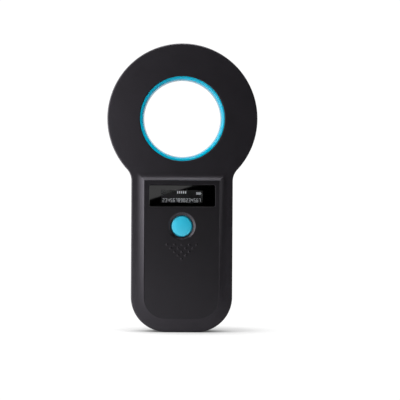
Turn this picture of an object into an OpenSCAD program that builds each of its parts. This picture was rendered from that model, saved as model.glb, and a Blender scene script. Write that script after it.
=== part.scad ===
// Hand-held microchip scanner: a ring-shaped antenna head on a flat handle.
// The handle's front carries a display, one push button and a panel of
// raised dots. +Z runs up the handle, the front faces -Y, and the shells part
// on the plane y = 0. The origin is on the flat bottom end, mid-width, in the
// parting plane.

/* [Body] */
// Overall length, from the bottom end to the top of the head
length = 156.4; // [154:0.2:162]
// Width of the handle
handle_w = 55; // [52:0.5:57]
// Radius of the handle's two bottom corners
corner_r = 19; // [17:0.5:20]
// Radius of the hollow where the handle meets the head
neck_r = 9.2; // [7:0.2:11]
// Depth of the head and of the handle's straight sides
slab_t = 19; // [18:0.5:22]
// Height of the palm swell above the rear face
swell_h = 11.8; // [10:0.1:12.5]
// Height of the fullest point of the palm swell above the bottom end
swell_z = 42; // [38:1:46]
// Radius of the palm swell, seen from the side
swell_side_r = 90; // [85:1:110]
// Wall thickness of both shells
wall = 2; // [1.8:0.1:2.2]

/* [Head] */
// Diameter of the head
head_d = 81.4; // [78:0.2:84]
// Diameter of the round opening through both shells
opening_d = 46; // [44:0.2:48]
// Clear diameter inside the coloured ring liner
liner_d = 41.4; // [39:0.2:42]

/* [Front panel] */
// Width of the border between the panel and the handle's edge
border = 7; // [6:0.2:8]
// Height of the panel's top edge above the bottom end
panel_top = 82.3; // [80:0.1:83]
// Rise of the panel's rim above the head's face, at the top
rim_top = 2.2; // [1.6:0.1:2.6]
// Rise of the panel's rim above the head's face, at the bottom
rim_bottom = 0.7; // [0.4:0.1:1]
// Width of the hollow flank beside the rim
flank_w = 4.6; // [4:0.1:5]
// Depth of the panel below its rim, at the top
sink_top = 0.4; // [0.2:0.05:0.5]

/* [Display] */
// Width of the display window
window_w = 35.8; // [34:0.1:36]
// Height of the display window
window_h = 11.9; // [11:0.1:12]
// Thickness of the display window
window_t = 1.2; // [1:0.1:1.2]
// Height of the window's centre above the bottom end
window_z = 73.8; // [73:0.1:74.5]

/* [Button] */
// Diameter of the button cap
button_d = 11.1; // [10:0.1:11.5]
// Diameter of the dish around the button
dish_d = 14.9; // [14.5:0.1:16]
// Height of the button's centre above the bottom end
button_z = 57.4; // [56:0.1:58]
// How far the button travels when it is pressed
button_travel = 0.35; // [0.2:0.05:0.4]

/* [Raised dots] */
// Rows of raised dots, longest row at the top
dot_rows = 5; // [3:1:5]
// Distance between dots in a row
dot_pitch = 4; // [3:0.1:4.2]
// Distance between rows of dots
dot_row_pitch = 1.95; // [1.8:0.05:2.2]
// Height of the top row above the bottom end
dot_z = 47.4; // [46:0.1:48]

/* [Hidden] */
$fn = 96;

// Colours
black_plastic = [0.06, 0.06, 0.065];
liner_blue = [0.02, 0.55, 0.68];
button_blue = [0.1, 0.6, 0.72];
board_green = [0.05, 0.3, 0.12];
chip_black = [0.08, 0.08, 0.08];
bright_metal = [0.75, 0.75, 0.77];
screw_steel = [0.35, 0.35, 0.37];
copper = [0.72, 0.4, 0.2];

// Overlap that keeps cuts clean, and the clearance between fixed parts
cut = 1;
fit = 0.1;

// Outline of the body
head_r = head_d / 2;
head_z = length - head_r;
half_w = handle_w / 2;
corner_x = half_w - corner_r;
neck_x = half_w + neck_r;
neck_reach = head_r + neck_r;
neck_drop = sqrt(neck_reach * neck_reach - neck_x * neck_x);
neck_z = head_z - neck_drop;

// Depths: the front face is at -face_y and the rear face at +face_y
face_y = slab_t / 2;
inner_y = face_y - wall;
// The palm swell is part of a barrel that stands parallel to the handle
barrel_r = (half_w * half_w + swell_h * swell_h) / (2 * swell_h);
barrel_y = face_y + swell_h - barrel_r;
barrel_len = 110;

// Joint between the shells: the front shell's lip and the rear shell's tongue
lip_w = 1;
lip_h = 1.4;
tongue_h = 1.3;
tongue_gap = 0.05;

// Ring liner, and the wall of the shells around it
opening_r = opening_d / 2;
liner_r = liner_d / 2;
liner_outer_r = opening_r - fit;
liner_lip = liner_outer_r - liner_r;
liner_recess = 0.3;
hub_r = opening_r + 1.8;
flange_r = hub_r - 0.3;
flange_t = 2;

// Panel: its rim and its own surface are two slightly tilted planes
panel_len = panel_top - border;
panel_half_w = half_w - border;
sink_bottom = 0.05;
rim_tilt = atan((rim_top - rim_bottom) / panel_len);
panel_low = face_y + rim_bottom - sink_bottom;
panel_high = face_y + rim_top - sink_top;
panel_slope = (panel_high - panel_low) / panel_len;
panel_tilt = atan(panel_slope);
panel_step = 0.5;
panel_wall = 2.2;
function panel_y(z) = -panel_low - panel_slope * (z - border);
// Height of the window's centre, measured along the panel
window_up = (window_z - border) / cos(panel_tilt);
flank_r = (flank_w * flank_w + rim_top * rim_top) / (2 * rim_top);
flank_low_w = sqrt(2 * flank_r * rim_bottom - rim_bottom * rim_bottom);

// Board, and the parts that stand on it
board_t = 1.2;
board_front = -2.6;
board_rear = board_front + board_t;
board_top = 80;
board_inset = 4;

// Case screws, as [x, z], and their sizes
case_screw_spots = [
    for (side = [-1, 1])
        for (spot = [[17, 14], [22, 84], [25, 141]])
            [side * spot[0], spot[1]]
];
case_boss_r = 2.75;
case_sleeve_r = 3.3;
case_seat_y = 4;
case_screw_r = 1.05;
case_head_r = 2.1;
case_head_t = 1.6;
case_screw_end = -6;
counterbore_r = 2.5;
pilot_gap = 0.05;
pilot_spare = 0.5;

// Board screws, as [x, z], and their sizes
board_screw_spots = [
    for (side = [-1, 1])
        for (z = [26, 62])
            [side * 18, z]
];
board_boss_r = 2.2;
board_screw_r = 0.95;
board_head_r = 1.8;
board_head_t = 1.2;
board_screw_end = -6.5;

// Button and switch
button_r = button_d / 2;
button_gap = 0.2;
dish_depth = 0.9;
dish_floor_r = button_r + 0.4;
button_face = panel_y(button_z);
button_flange_r = button_r + 1;
button_flange_t = 0.8;
button_flange_y = button_face + panel_wall + 0.12;
button_stem_r = 2;
switch_w = 6.2;
switch_base_t = 3;
switch_cover_t = 0.3;
switch_cover_gap = 0.05;
switch_front = board_front - switch_base_t;
plunger_r = 1.7;
plunger_flange_r = 2.1;
plunger_flange_t = 0.35;
plunger_tip = -6.5;
dome_seat = -4.4;
dome_r = 2.15;
dome_h = 0.5;
dome_t = 0.1;
switch_well_r = 2.3;
slide_gap = 0.02;

// Display
glass_w = 30;
glass_h = 11.5;
glass_t = 1.45;
glass_front = -8.85;
window_corner_r = 1;
sight_w = 25;
sight_h = 8.6;
sight_corner_r = 0.6;
tape_t = 0.15;

// Antenna coil, around the hub of the shells
bobbin_r = hub_r + 0.2;
bobbin_base_t = 1.2;
bobbin_flange_r = 30;
bobbin_flange_t = 1.1;
bobbin_half = 4.7;
coil_r = 29;
coil_gap = 0.05;
coil_wrap_t = 0.2;
coil_half = bobbin_half - bobbin_flange_t - fit;
// Pads in both shells that hold the bobbin, as [x, z]
pad_r = 1.6;
pad_ring_r = 27.6;
pad_spots = [
    for (angle = [0 : 60 : 300])
        [pad_ring_r * cos(angle), head_z + pad_ring_r * sin(angle)]
];

// Wire-to-board connectors: the plug and the header it slides into
plug_w = 5.2;
plug_t = 2.8;
plug_h = 2.45;
plug_lift = 0.9;
header_size = [6, 4.9, 4.2];

// Battery
cell_w = 34;
cell_len = 50;
cell_t = 6.2;
cell_low = 18;
cell_front = 3.6;
cell_tape_t = 0.5;
battery_plug_x = -12;
battery_plug_z = 72.45;

// Charging socket, at the bottom end
socket_w = 8.9;
socket_t = 3.2;
socket_low = 0.6;
socket_len = 7.4;
port_margin = 0.35;
socket_corner_r = 1.2;

// Rear label, on the palm swell
label_w = 28;
label_h = 20;
label_sink = 0.25;
label_corner_r = 1.5;

// ---------- Helpers ----------

// Extrudes a front view from depth y0 to depth y1
module slab(y0, y1) {
    translate([0, y1, 0])
        rotate([90, 0, 0])
            linear_extrude(y1 - y0) children();
}

// A cylinder along Y at [x, z], from depth y0 to depth y1
module rod(spot, r, y0, y1) {
    translate([spot[0], y1, spot[1]])
        rotate([90, 0, 0])
            cylinder(r = r, h = y1 - y0);
}

// Turns a half section about the axis of the head; x is the radius and
// y points out of the front
module around_head() {
    translate([0, 0, head_z])
        rotate([90, 0, 0])
            rotate_extrude() children();
}

// Places children on the panel: y = 0 is the panel's surface and z = 0 its
// bottom edge
module on_panel() {
    translate([0, -panel_low, border])
        rotate([panel_tilt, 0, 0]) children();
}

// A rectangle with round corners, centred
module rounded_rect(w, h, r) {
    square([w - 2 * r, h], center = true);
    square([w, h - 2 * r], center = true);
    for (x = [-1, 1])
        for (y = [-1, 1])
            translate([x * (w / 2 - r), y * (h / 2 - r)]) circle(r);
}

// A block on the board at [x, z]; side -1 is the front, 1 the rear
module on_board(spot, size, side = 1) {
    y0 = side > 0 ? board_rear : board_front - size[2];
    translate([spot[0] - size[0] / 2, y0, spot[1] - size[1] / 2])
        cube([size[0], size[2], size[1]]);
}

// ---------- Shape of the body ----------

// Front view of the handle alone, drawn in from its edge by inset
module handle_outline(inset, top) {
    side = half_w - inset;
    translate([-side, corner_r]) square([2 * side, top - corner_r]);
    translate([-corner_x, inset]) square([2 * corner_x, top - inset]);
    for (x = [-corner_x, corner_x])
        translate([x, corner_r]) circle(corner_r - inset);
}

// Front view of the whole body, drawn in from its edge by inset
module body_outline(inset = 0) {
    touch = (head_r - inset) / neck_reach;
    touch_x = neck_x * touch;
    touch_z = head_z - neck_drop * touch;
    handle_outline(inset, neck_z);
    translate([0, head_z]) circle(head_r - inset);
    difference() {
        translate([-touch_x, neck_z]) square([2 * touch_x, touch_z - neck_z]);
        for (x = [-neck_x, neck_x])
            translate([x, neck_z]) circle(neck_r + inset);
    }
}

// Front view of the space around the coil and the board
module cavity_outline() {
    difference() {
        body_outline(wall);
        translate([0, head_z]) circle(hub_r);
    }
}

// The barrel whose rear side is the palm swell
module barrel(inset) {
    translate([0, barrel_y, swell_z])
        rotate_extrude()
            intersection() {
                translate([barrel_r - swell_side_r, 0])
                    circle(swell_side_r - inset, $fn = 180);
                translate([0, -barrel_len / 2])
                    square([barrel_r, barrel_len]);
            }
}

// Everything behind the parting plane, drawn in by inset
module rear_form(inset) {
    slab(0, face_y - inset) body_outline(inset);
    intersection() {
        barrel(inset);
        slab(0, face_y + swell_h) handle_outline(inset, panel_top + flank_w);
    }
}

// The raised rim of the panel, with hollow flanks at its sides and top
module rim_form() {
    sheet = 0.5;
    lift = 0.03;
    corner_nip = 1.5;
    flank_y = -face_y - flank_r - lift;
    flank_top = panel_top + flank_w;
    flank_x = panel_half_w + flank_w;
    low_x = panel_half_w + flank_low_w;
    lean = atan((flank_x - low_x) / (flank_top - corner_r));
    run = 160;
    difference() {
        hull() {
            translate([0, -face_y - rim_bottom, border])
                rotate([rim_tilt, 0, 0])
                    translate([0, 0, -border])
                        slab(0, sheet) handle_outline(border, panel_top);
            for (x = [-corner_x, corner_x])
                rod([x, corner_r], corner_r - border + flank_low_w,
                    -face_y, -face_y + sheet);
            for (nip = [0, corner_nip])
                translate([nip - flank_x, -face_y,
                        flank_top - corner_nip + nip - sheet])
                    cube([2 * (flank_x - nip), sheet, sheet]);
        }
        translate([-run / 2, flank_y, flank_top])
            rotate([0, 90, 0]) cylinder(r = flank_r, h = run);
        for (side = [-1, 1])
            translate([side * low_x, flank_y, corner_r])
                rotate([0, side * lean, 0])
                    cylinder(r = flank_r, h = run, center = true);
    }
}

// ---------- Housing ----------

module dots() {
    dome_radius = 0.85;
    dome_sink = 0.45;
    for (row = [0 : dot_rows - 1])
        for (i = [0 : dot_rows - 1 - row]) {
            x = (i - (dot_rows - 1 - row) / 2) * dot_pitch;
            z = dot_z - row * dot_row_pitch;
            translate([x, panel_y(z) + dome_sink, z])
                sphere(dome_radius, $fn = 32);
        }
}

module front_cavity() {
    pocket_w = 35;
    pocket_low = 5;
    pocket_high = 2;
    pocket_depth = 4;
    slab(-inner_y, cut) cavity_outline();
    on_panel()
        translate([-pocket_w / 2, panel_wall, pocket_low])
            cube([pocket_w, pocket_depth,
                panel_len - pocket_low - pocket_high]);
}

module front_bosses() {
    for (spot = case_screw_spots)
        rod(spot, case_boss_r, -inner_y - cut, 0);
    for (spot = board_screw_spots)
        rod(spot, board_boss_r, -inner_y - cut, board_front);
    for (spot = pad_spots)
        rod(spot, pad_r, -inner_y - cut, -bobbin_half);
}

module front_shell_cuts() {
    pocket_gap = 0.2;
    rod([0, head_z], opening_r, -face_y - cut, cut);
    rod([0, head_z], hub_r + fit / 2, -flange_t / 2 - fit / 2, cut);
    slab(-lip_h, cut) body_outline(lip_w);
    on_panel()
        translate([0, 0, window_up]) {
            slab(-cut, window_t + tape_t)
                rounded_rect(window_w + pocket_gap, window_h + pocket_gap,
                    window_corner_r + pocket_gap / 2);
            slab(-cut, panel_wall + cut)
                rounded_rect(sight_w, sight_h, sight_corner_r);
        }
    rod([0, button_z], button_r + button_gap, -face_y - 2 * cut - rim_top, 0);
    translate([0, button_face + dish_depth, button_z])
        rotate([90, 0, 0])
            cylinder(r1 = dish_floor_r, r2 = dish_d - dish_floor_r,
                h = 2 * dish_depth);
    translate([0, board_front - socket_t / 2, -cut])
        linear_extrude(wall + 2 * cut)
            rounded_rect(socket_w + 2 * port_margin,
                socket_t + 2 * port_margin, socket_corner_r);
    for (spot = case_screw_spots)
        rod(spot, case_screw_r + pilot_gap, case_screw_end - pilot_spare, cut);
    for (spot = board_screw_spots)
        rod(spot, board_screw_r + pilot_gap, board_screw_end - pilot_spare, 0);
}

module front_shell() {
    // More than the rim stands above the panel
    panel_cut = 2;
    color(black_plastic)
        difference() {
            union() {
                difference() {
                    union() {
                        slab(-face_y, 0) body_outline();
                        rim_form();
                    }
                    front_cavity();
                    on_panel()
                        translate([0, 0, -border])
                            slab(-panel_cut, 0)
                                handle_outline(border + panel_step,
                                    panel_top - panel_step);
                }
                front_bosses();
                dots();
            }
            front_shell_cuts();
        }
}

module rear_shell_additions() {
    rib_t = 1.5;
    rib_w = 28;
    rib_inset = 12;
    // Keeps the sleeves and ribs short of the outer face
    skin = 0.3;
    // Tongue that locates the rear shell inside the front shell
    slab(-tongue_h, cut)
        difference() {
            body_outline(lip_w + tongue_gap);
            body_outline(wall);
        }
    // Screw sleeves, coil pads and the two ribs that carry the battery
    intersection() {
        rear_form(skin);
        union() {
            for (spot = case_screw_spots)
                rod(spot, case_sleeve_r, 0, face_y + swell_h);
            for (spot = pad_spots)
                rod(spot, pad_r, bobbin_half, face_y);
            for (z = [cell_low + rib_inset, cell_low + cell_len - rib_inset])
                translate([-rib_w / 2, cell_front + cell_t + cell_tape_t,
                        z - rib_t / 2])
                    cube([rib_w, swell_h + face_y, rib_t]);
        }
    }
}

module rear_shell() {
    far = face_y + swell_h + cut;
    screw_gap = 0.2;
    color(black_plastic)
        difference() {
            union() {
                difference() {
                    rear_form(0);
                    slab(-cut, inner_y) cavity_outline();
                    intersection() {
                        barrel(wall);
                        slab(-cut, far) handle_outline(wall, panel_top);
                    }
                }
                rear_shell_additions();
            }
            rod([0, head_z], opening_r, -2 * cut, far);
            rod([0, head_z], hub_r + fit / 2, -2 * cut,
                flange_t / 2 + fit / 2);
            for (spot = case_screw_spots) {
                rod(spot, case_screw_r + screw_gap, -2 * cut, far);
                rod(spot, counterbore_r, case_seat_y, far);
            }
            label_space(0, label_sink);
        }
}

// The layer of the palm swell between two depths below its surface
module label_space(above, below) {
    grow = 2 * fit;
    intersection() {
        difference() {
            barrel(above - fit);
            barrel(below);
        }
        translate([0, 0, swell_z])
            slab(face_y, face_y + swell_h + cut)
                rounded_rect(label_w + grow, label_h + grow,
                    label_corner_r + fit);
    }
}

module rear_label() {
    color("silver")
        intersection() {
            difference() {
                barrel(fit);
                barrel(label_sink);
            }
            translate([0, 0, swell_z])
                slab(face_y, face_y + swell_h)
                    rounded_rect(label_w, label_h, label_corner_r);
        }
}

module antenna_ring_liner() {
    lip_y = face_y - liner_recess;
    color(liner_blue)
        around_head() {
            difference() {
                translate([liner_r, -lip_y]) square([liner_lip, 2 * lip_y]);
                for (side = [-1, 1])
                    difference() {
                        translate([liner_r - cut,
                                side > 0 ? lip_y - liner_lip : -lip_y - cut])
                            square([liner_lip + cut, liner_lip + cut]);
                        translate([liner_outer_r, side * (lip_y - liner_lip)])
                            circle(liner_lip);
                    }
            }
            translate([liner_outer_r - cut, -flange_t / 2])
                square([flange_r - liner_outer_r + cut, flange_t]);
        }
}

module display_window() {
    sunk = 0.03;
    color([0.01, 0.01, 0.012])
        on_panel()
            translate([0, 0, window_up])
                slab(sunk, sunk + window_t)
                    rounded_rect(window_w, window_h, window_corner_r);
}

module window_tape() {
    margin = 0.5;
    front_gap = 0.04;
    rear_gap = 0.01;
    color([0.15, 0.15, 0.15])
        on_panel()
            translate([0, 0, window_up])
                slab(window_t + front_gap, window_t + tape_t - rear_gap)
                    difference() {
                        rounded_rect(window_w - margin, window_h - margin,
                            window_corner_r);
                        rounded_rect(sight_w + margin, sight_h + margin,
                            sight_corner_r + margin / 2);
                    }
}

// ---------- Button and switch ----------

module button_cap() {
    chamfer = 0.25;
    spot = [0, button_z];
    color(button_blue) {
        translate([0, button_face + chamfer, button_z])
            rotate([90, 0, 0])
                cylinder(r1 = button_r, r2 = button_r - chamfer, h = chamfer);
        rod(spot, button_r, button_face + chamfer, button_flange_y);
        rod(spot, button_flange_r, button_flange_y,
            button_flange_y + button_flange_t);
        rod(spot, button_stem_r, button_flange_y, plunger_tip - slide_gap);
    }
}

module switch_base() {
    color(chip_black)
        difference() {
            on_board([0, button_z], [switch_w, switch_w, switch_base_t], -1);
            rod([0, button_z], switch_well_r, switch_front - cut, dome_seat);
        }
}

module switch_cover() {
    color(bright_metal)
        difference() {
            translate([-switch_w / 2, switch_front - switch_cover_t,
                    button_z - switch_w / 2])
                cube([switch_w, switch_cover_t, switch_w]);
            rod([0, button_z], plunger_r + switch_cover_gap, switch_front - cut,
                switch_front + cut);
        }
}

module switch_plunger() {
    flange_drop = 0.3;
    flange_y = switch_front + flange_drop;
    color([0.8, 0.78, 0.7]) {
        rod([0, button_z], plunger_r, plunger_tip, flange_y);
        rod([0, button_z], plunger_flange_r, flange_y,
            flange_y + plunger_flange_t);
    }
}

// A thin spherical snap dome
module switch_dome() {
    r = (dome_r * dome_r + dome_h * dome_h) / (2 * dome_h);
    color(bright_metal)
        translate([0, dome_seat, button_z])
            rotate([90, 0, 0])
                intersection() {
                    translate([0, 0, dome_h - r])
                        difference() {
                            sphere(r);
                            sphere(r - dome_t);
                        }
                    cylinder(r = dome_r, h = dome_h);
                }
}

// ---------- Antenna coil ----------

module coil_bobbin() {
    color([0.85, 0.83, 0.78])
        around_head() {
            translate([bobbin_r, -bobbin_half])
                square([bobbin_base_t, 2 * bobbin_half]);
            for (y = [-bobbin_half, bobbin_half - bobbin_flange_t])
                translate([bobbin_r, y])
                    square([bobbin_flange_r - bobbin_r, bobbin_flange_t]);
        }
}

module antenna_coil() {
    color(copper)
        around_head()
            translate([bobbin_r + bobbin_base_t + coil_gap, -coil_half])
                square([coil_r - bobbin_r - bobbin_base_t - coil_gap,
                    2 * coil_half]);
}

module coil_overwrap() {
    color("gold")
        around_head()
            translate([coil_r + coil_gap, -coil_half])
                square([coil_wrap_t, 2 * coil_half]);
}

module coil_leads() {
    lead_r = 0.5;
    lead_x = 1.2;
    lead_y = 1;
    low = board_top - 0.5;
    high = head_z - coil_r - coil_wrap_t - 3 * coil_gap;
    color("firebrick")
        for (side = [-1, 1])
            translate([side * lead_x, lead_y, low])
                cylinder(r = lead_r, h = high - low);
}

// The body of a wire plug, with its lower end at z = low
module plug(x, low) {
    translate([x - plug_w / 2, board_rear + plug_lift, low])
        cube([plug_w, plug_t, plug_h]);
}

module coil_plug() {
    overhang = 3;
    color("white") plug(0, board_top - overhang);
}

module coil_socket() {
    inset = 5.5;
    color("ivory") on_board([0, board_top - inset], header_size);
}

// ---------- Board ----------

module main_board() {
    sleeve_gap = 0.2;
    screw_gap = 0.15;
    color(board_green)
        difference() {
            slab(board_front, board_rear)
                handle_outline(board_inset, board_top);
            // Of the case screws, only the lowest two pass the board
            for (spot = case_screw_spots)
                if (spot[1] < board_screw_spots[0][1])
                    rod(spot, case_sleeve_r + sleeve_gap, board_front - cut,
                        board_rear + cut);
            for (spot = board_screw_spots)
                rod(spot, board_screw_r + screw_gap, board_front - cut,
                    board_rear + cut);
        }
}

module board_screws() {
    drive_r = 0.6;
    // Metal left under the six-sided drive
    drive_floor = 0.6;
    color(screw_steel)
        for (spot = board_screw_spots) {
            rod(spot, board_screw_r, board_screw_end, board_rear);
            difference() {
                rod(spot, board_head_r, board_rear, board_rear + board_head_t);
                rod(spot, drive_r, board_rear + drive_floor,
                    board_rear + board_head_t + cut, $fn = 6);
            }
        }
}

module case_screws() {
    slot_w = 0.6;
    slot_len = 2.4;
    slot_depth = 0.9;
    slot_y = case_seat_y + case_head_t - slot_depth;
    color(screw_steel)
        for (spot = case_screw_spots)
            difference() {
                union() {
                    rod(spot, case_screw_r, case_screw_end, case_seat_y);
                    rod(spot, case_head_r, case_seat_y,
                        case_seat_y + case_head_t);
                }
                for (turn = [0, 90])
                    translate([spot[0], slot_y, spot[1]])
                        rotate([0, turn, 0])
                            translate([-slot_len / 2, 0, -slot_w / 2])
                                cube([slot_len, slot_depth + cut, slot_w]);
            }
}

module display_glass() {
    color([0.05, 0.05, 0.06])
        translate([-glass_w / 2, glass_front, window_z - glass_h / 2])
            cube([glass_w, glass_t, glass_h]);
}

module display_carrier() {
    rim = 1.2;
    glass_gap = 0.05;
    rear = glass_front + glass_t;
    color([0.2, 0.2, 0.2])
        slab(rear + glass_gap, board_front)
            translate([0, window_z])
                difference() {
                    square([glass_w, glass_h], center = true);
                    square([glass_w - 2 * rim, glass_h - 2 * rim],
                        center = true);
                }
}

// The flexible tail of the display, bent back to the board
module display_flex() {
    flex_w = 10;
    flex_t = 0.15;
    drop = 2;
    tab = drop - fit;
    y0 = glass_front + glass_t - flex_t;
    bend_r = (board_front - y0) / 2;
    bend_z = window_z - glass_h / 2 - drop;
    color("peru")
        translate([-flex_w / 2, y0 + bend_r, bend_z]) {
            difference() {
                rotate([0, 90, 0]) cylinder(r = bend_r, h = flex_w);
                translate([-cut, 0, 0])
                    rotate([0, 90, 0])
                        cylinder(r = bend_r - flex_t, h = flex_w + 2 * cut);
                translate([-cut, -bend_r - cut, 0])
                    cube([flex_w + 2 * cut, 2 * bend_r + 2 * cut, bend_r * 2]);
            }
            translate([0, -bend_r, 0]) cube([flex_w, flex_t, tab]);
            translate([0, bend_r - flex_t, 0]) cube([flex_w, flex_t, tab]);
        }
}

module buzzer() {
    spot = [0, 42];
    can_r = 4.5;
    can_h = 4.5;
    vent_r = 0.8;
    vent_depth = 1.5;
    front = board_front - can_h;
    color(chip_black)
        difference() {
            rod(spot, can_r, front, board_front);
            rod(spot, vent_r, front - cut, front + vent_depth);
        }
}

module charging_socket() {
    tongue_w = 6.4;
    tongue_t = 0.7;
    tongue_set = 1;
    back_t = 1;
    skin = 0.3;
    mid_y = board_front - socket_t / 2;
    color(bright_metal)
        translate([0, mid_y, socket_low]) {
            difference() {
                linear_extrude(socket_len)
                    rounded_rect(socket_w, socket_t, socket_corner_r);
                translate([0, 0, -cut])
                    linear_extrude(socket_len - back_t + cut)
                        rounded_rect(socket_w - 2 * skin,
                            socket_t - 2 * skin, socket_corner_r - skin);
            }
            translate([-tongue_w / 2, -tongue_t / 2, tongue_set])
                cube([tongue_w, tongue_t, socket_len - tongue_set - back_t / 2]);
        }
}

module controller_chip() {
    spot = [10, 50];
    size = [7, 7, 1];
    color(chip_black) on_board(spot, size);
}

module reader_chip() {
    spot = [-9, 52];
    size = [8.7, 3.9, 1.6];
    color(chip_black) on_board(spot, size);
}

// A small carrier board with a metal can on it
module radio_module() {
    spot = [0, 31];
    size = [12, 17, 0.8];
    can = [10, 10, 1.4];
    can_drop = 2.5;
    color([0.1, 0.2, 0.45]) {
        on_board(spot, size);
        translate([0, size[2], -can_drop]) on_board(spot, can);
    }
}

module charger_chip() {
    spot = [7, 15];
    size = [3, 3, 0.9];
    color(chip_black) on_board(spot, size);
}

module crystal() {
    spot = [10, 42.5];
    size = [3.2, 2.5, 0.8];
    color(bright_metal) on_board(spot, size);
}

module power_inductor() {
    spot = [-7, 15];
    size = [4, 4, 1.8];
    color([0.25, 0.25, 0.27]) on_board(spot, size);
}

module tuning_capacitors() {
    row_z = 74;
    size = [2, 3.2, 1.6];
    color([0.7, 0.5, 0.3])
        for (x = [8 : 4 : 16])
            on_board([x, row_z], size);
}

// Small ceramic capacitors: a column and a row beside the chips, and four
// near the bottom
module chip_capacitors() {
    size = [0.8, 1.6, 0.8];
    column_x = 4.6;
    row_z = 47.5;
    low_z = 21;
    spots = concat(
        [for (z = [46 : 2 : 54]) [column_x, z]],
        [for (x = [-13 : 2 : -5]) [x, row_z]],
        [for (x = [-9, -6, 6, 9]) [x, low_z]]
    );
    color([0.7, 0.55, 0.35])
        for (spot = spots)
            on_board(spot, size);
}

// ---------- Battery ----------

module battery_cell() {
    r = cell_t / 2;
    color([0.7, 0.72, 0.75])
        translate([0, cell_front + r, cell_low]) {
            translate([-cell_w / 2 + r, -r, 0])
                cube([cell_w - 2 * r, cell_t, cell_len]);
            for (x = [-1, 1])
                translate([x * (cell_w / 2 - r), 0, 0])
                    cylinder(r = r, h = cell_len);
        }
}

module battery_tape() {
    tape_w = 24;
    tape_inset = 8;
    color([0.9, 0.88, 0.8])
        translate([-tape_w / 2, cell_front + cell_t, cell_low + tape_inset])
            cube([tape_w, cell_tape_t, cell_len - 2 * tape_inset]);
}

// Two wires that rise from the cell, cross to the plug and enter it. Each
// point is [depth, height]
module battery_leads() {
    lead_r = 0.6;
    lead_x = 1.2;
    elbow_r = lead_r + 0.03;
    gap = 0.05;
    cell_y = cell_front + 2.9;
    plug_y = board_rear + plug_lift + plug_t / 2;
    start = [cell_y, cell_low + cell_len + gap];
    bend = [cell_y, start[1] + 1.95];
    enter = [plug_y, bend[1] + 1.6];
    finish = [plug_y, battery_plug_z - gap];
    rise = enter[1] - bend[1];
    across = bend[0] - enter[0];
    color("red")
        for (side = [-1, 1]) {
            x = battery_plug_x + side * lead_x;
            translate([x, start[0], start[1]])
                cylinder(r = lead_r, h = bend[1] - start[1]);
            translate([x, bend[0], bend[1]]) {
                sphere(elbow_r);
                rotate([atan(across / rise), 0, 0])
                    cylinder(r = lead_r, h = norm([rise, across]));
            }
            translate([x, enter[0], enter[1]]) {
                sphere(elbow_r);
                cylinder(r = lead_r, h = finish[1] - enter[1]);
            }
        }
}

module battery_plug() {
    color("white") plug(battery_plug_x, battery_plug_z);
}

module battery_socket() {
    // The header stands just above the plug
    middle_z = battery_plug_z + plug_h + header_size[1] / 2 + fit / 2;
    color("ivory") on_board([battery_plug_x, middle_z], header_size);
}

front_shell();
rear_shell();
antenna_ring_liner();
display_window();
window_tape();
button_cap();
case_screws();
rear_label();
coil_bobbin();
antenna_coil();
coil_overwrap();
coil_leads();
coil_plug();
coil_socket();
main_board();
board_screws();
display_glass();
display_carrier();
display_flex();
switch_base();
switch_dome();
switch_plunger();
switch_cover();
buzzer();
battery_cell();
battery_tape();
battery_leads();
battery_plug();
battery_socket();
charging_socket();
controller_chip();
reader_chip();
radio_module();
charger_chip();
crystal();
power_inductor();
tuning_capacitors();
chip_capacitors();
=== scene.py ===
"""Looks of the hand-held microchip scanner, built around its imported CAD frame."""

import math

import bmesh
import bpy
import numpy as np
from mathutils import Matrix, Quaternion, Vector
from mathutils.geometry import delaunay_2d_cdt


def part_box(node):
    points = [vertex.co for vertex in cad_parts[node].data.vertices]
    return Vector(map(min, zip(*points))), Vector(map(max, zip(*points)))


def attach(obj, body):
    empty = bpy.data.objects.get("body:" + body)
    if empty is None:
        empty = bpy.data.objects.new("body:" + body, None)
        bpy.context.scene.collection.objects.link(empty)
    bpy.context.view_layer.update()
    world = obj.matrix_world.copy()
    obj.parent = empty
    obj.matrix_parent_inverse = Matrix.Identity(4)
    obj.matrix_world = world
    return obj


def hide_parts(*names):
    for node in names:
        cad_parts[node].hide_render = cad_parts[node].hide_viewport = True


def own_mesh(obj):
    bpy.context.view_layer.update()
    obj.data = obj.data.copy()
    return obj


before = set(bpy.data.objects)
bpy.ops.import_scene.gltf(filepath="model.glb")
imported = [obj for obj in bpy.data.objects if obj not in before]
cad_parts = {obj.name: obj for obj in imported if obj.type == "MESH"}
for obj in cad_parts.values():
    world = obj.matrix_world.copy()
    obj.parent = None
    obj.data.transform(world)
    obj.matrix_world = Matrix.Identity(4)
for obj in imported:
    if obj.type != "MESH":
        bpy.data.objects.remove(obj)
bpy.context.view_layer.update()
MM = 0.001


def box_mm(node):
    """Lowest and highest corner of a CAD node, in millimetres."""
    low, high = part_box(node)
    return low / MM, high / MM


# ---- sizes, mm
SHELL_LOW, SHELL_HIGH = box_mm("front_shell")
LINER_HIGH = box_mm("antenna_ring_liner")[1]
BOARD_LOW, BOARD_HIGH = box_mm("main_board")
WINDOW_LOW, WINDOW_HIGH = box_mm("display_window")
GLASS_LOW, GLASS_HIGH = box_mm("display_glass")
CAP_LOW, CAP_HIGH = box_mm("button_cap")
LABEL_HIGH = box_mm("rear_label")[1]
BOBBIN_HALF = box_mm("coil_bobbin")[1].y
SOCKET_LOW, SOCKET_HIGH = box_mm("charging_socket")
BUTTON_Z = (CAP_LOW.z + CAP_HIGH.z) / 2
WINDOW_Z = (WINDOW_LOW.z + WINDOW_HIGH.z) / 2
SOCKET_Y = (SOCKET_LOW.y + SOCKET_HIGH.y) / 2

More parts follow.
